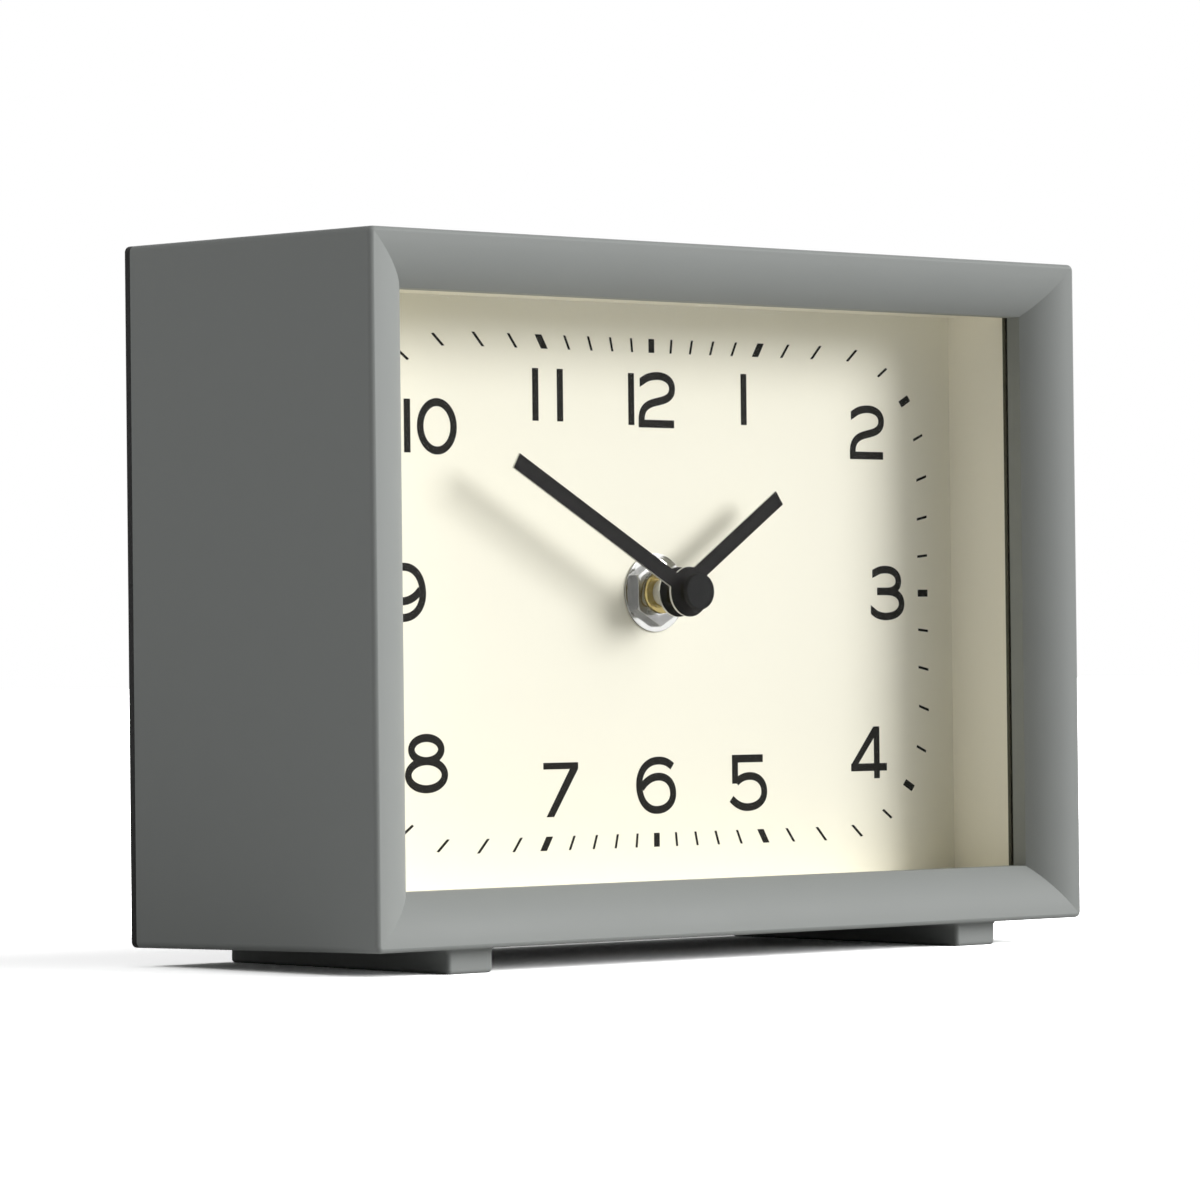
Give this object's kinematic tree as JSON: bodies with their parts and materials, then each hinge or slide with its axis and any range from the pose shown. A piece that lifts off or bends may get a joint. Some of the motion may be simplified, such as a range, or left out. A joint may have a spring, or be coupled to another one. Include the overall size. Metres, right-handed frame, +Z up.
{
  "type": "desk clock",
  "caption": "Rectangular grey desk clock with a rounded bezel, a deep cream dial with baton hands, two foot bars and a quartz movement behind a hinged battery door.",
  "frame": {"origin": "on the table, under the centre of the clock's box", "axes": "+X to the right seen from the front, +Y from the dial to the back, +Z up"},
  "size_m": [0.178, 0.074, 0.1349],
  "materials": {
    "grey_case_plastic": "satin moulded",
    "clear_lens": "polished",
    "seal_rubber": "matte",
    "cream_surround": "matte moulded",
    "cream_dial": "matte paint with black print",
    "black_cover_plastic": "fine textured",
    "screw_steel": "zinc plated",
    "nut_chrome": "bright plated",
    "hub_brass": "turned",
    "hand_black": "matte black paint",
    "cap_black": "semi gloss",
    "movement_plastic": "moulded",
    "knob_plastic": "moulded",
    "tube_plastic": "moulded grey",
    "gear_plastic": "moulded natural",
    "arbor_steel": "turned",
    "magnet_ferrite": "dark ferrite",
    "stator_iron": "stamped",
    "coil_copper": "enamelled copper wire",
    "bobbin_plastic": "moulded",
    "board_green": "lacquered laminate",
    "crystal_can": "plated can",
    "chip_epoxy": "cast epoxy",
    "battery_sleeve": "plain sleeve",
    "contact_nickel": "nickel plated"
  },
  "bodies": {
    "case": {"case_shell": "grey_case_plastic", "lens": "clear_lens", "lens_seal": "seal_rubber", "dial_surround": "cream_surround", "dial_plate": "cream_dial", "dial_screws": "screw_steel", "rear_cover": "black_cover_plastic", "rear_cover_screws": "screw_steel", "door_hinge_pin": "screw_steel", "threaded_bush": "hub_brass", "dial_washer": "nut_chrome", "clamp_nut": "nut_chrome", "stator": "stator_iron", "coil_core": "stator_iron", "coil_bobbin": "bobbin_plastic", "coil_winding": "coil_copper", "train_plate": "movement_plastic", "train_plate_screws": "screw_steel", "circuit_board": "board_green", "quartz_crystal": "crystal_can", "control_chip": "chip_epoxy", "battery": "battery_sleeve", "battery_contact_positive": "contact_nickel", "battery_contact_negative": "contact_nickel", "movement_front_case": "movement_plastic", "movement_back_case": "movement_plastic", "movement_gasket": "seal_rubber"},
    "door": {"battery_door": "black_cover_plastic"},
    "hour": {"hour_hand": "hand_black", "hour_hand_collet": "hub_brass", "hour_wheel": "tube_plastic"},
    "minute": {"minute_hand": "hand_black", "minute_hand_collet": "hub_brass", "hand_cap": "cap_black", "minute_arbor": "arbor_steel"},
    "motion": {"motion_wheel": "gear_plastic"},
    "setting": {"setting_shaft": "gear_plastic", "setting_knob": "knob_plastic"},
    "friction": {"friction_wheel": "gear_plastic"},
    "third": {"third_wheel": "gear_plastic"},
    "fourth": {"fourth_wheel": "gear_plastic"},
    "fifth": {"fifth_wheel": "gear_plastic"},
    "rotor": {"rotor_shaft": "gear_plastic", "rotor_magnet": "magnet_ferrite"}
  },
  "joints": [
    {"name": "door_swing", "type": "hinge", "parent": "case", "child": "door", "pos_m": [-0.0268, 0.0355, 0.07051], "axis": [0, 0, 1], "range_deg": [0, 95]},
    {"name": "minute_turn", "type": "hinge", "parent": "case", "child": "minute", "pos_m": [0, -0.00475, 0.0692], "axis": [0, 1, 0], "continuous": true},
    {"name": "hour_turn", "type": "hinge", "parent": "case", "child": "hour", "pos_m": [0, -0.0062, 0.0692], "axis": [0, 1, 0], "continuous": true},
    {"name": "motion_turn", "type": "hinge", "parent": "case", "child": "motion", "pos_m": [0.01, -0.00475, 0.0692], "axis": [0, 1, 0], "continuous": true},
    {"name": "setting_turn", "type": "hinge", "parent": "case", "child": "setting", "pos_m": [0.01602, -0.00475, 0.07719], "axis": [0, 1, 0], "continuous": true},
    {"name": "rotor_turn", "type": "hinge", "parent": "case", "child": "rotor", "pos_m": [0.00541, -0.00275, 0.08562], "axis": [0, 1, 0], "continuous": true},
    {"name": "fifth_turn", "type": "hinge", "parent": "case", "child": "fifth", "pos_m": [-0.00179, -0.00275, 0.08562], "axis": [0, 1, 0], "continuous": true},
    {"name": "fourth_turn", "type": "hinge", "parent": "case", "child": "fourth", "pos_m": [-0.00968, -0.00435, 0.08275], "axis": [0, 1, 0], "continuous": true},
    {"name": "third_turn", "type": "hinge", "parent": "case", "child": "third", "pos_m": [-0.00812, -0.00115, 0.07389], "axis": [0, 1, 0], "continuous": true},
    {"name": "friction_turn", "type": "hinge", "parent": "case", "child": "friction", "pos_m": [0, -0.00295, 0.0692], "axis": [0, 1, 0], "continuous": true}
  ],
  "couplings": [
    {"joint": "motion_turn", "follows": "minute_turn", "ratio": -0.33333},
    {"joint": "hour_turn", "follows": "minute_turn", "ratio": 0.083333},
    {"joint": "setting_turn", "follows": "minute_turn", "ratio": 1},
    {"joint": "fifth_turn", "follows": "rotor_turn", "ratio": -0.2},
    {"joint": "fourth_turn", "follows": "rotor_turn", "ratio": 0.033333},
    {"joint": "third_turn", "follows": "rotor_turn", "ratio": -0.0066667},
    {"joint": "friction_turn", "follows": "rotor_turn", "ratio": 0.0016667}
  ]
}
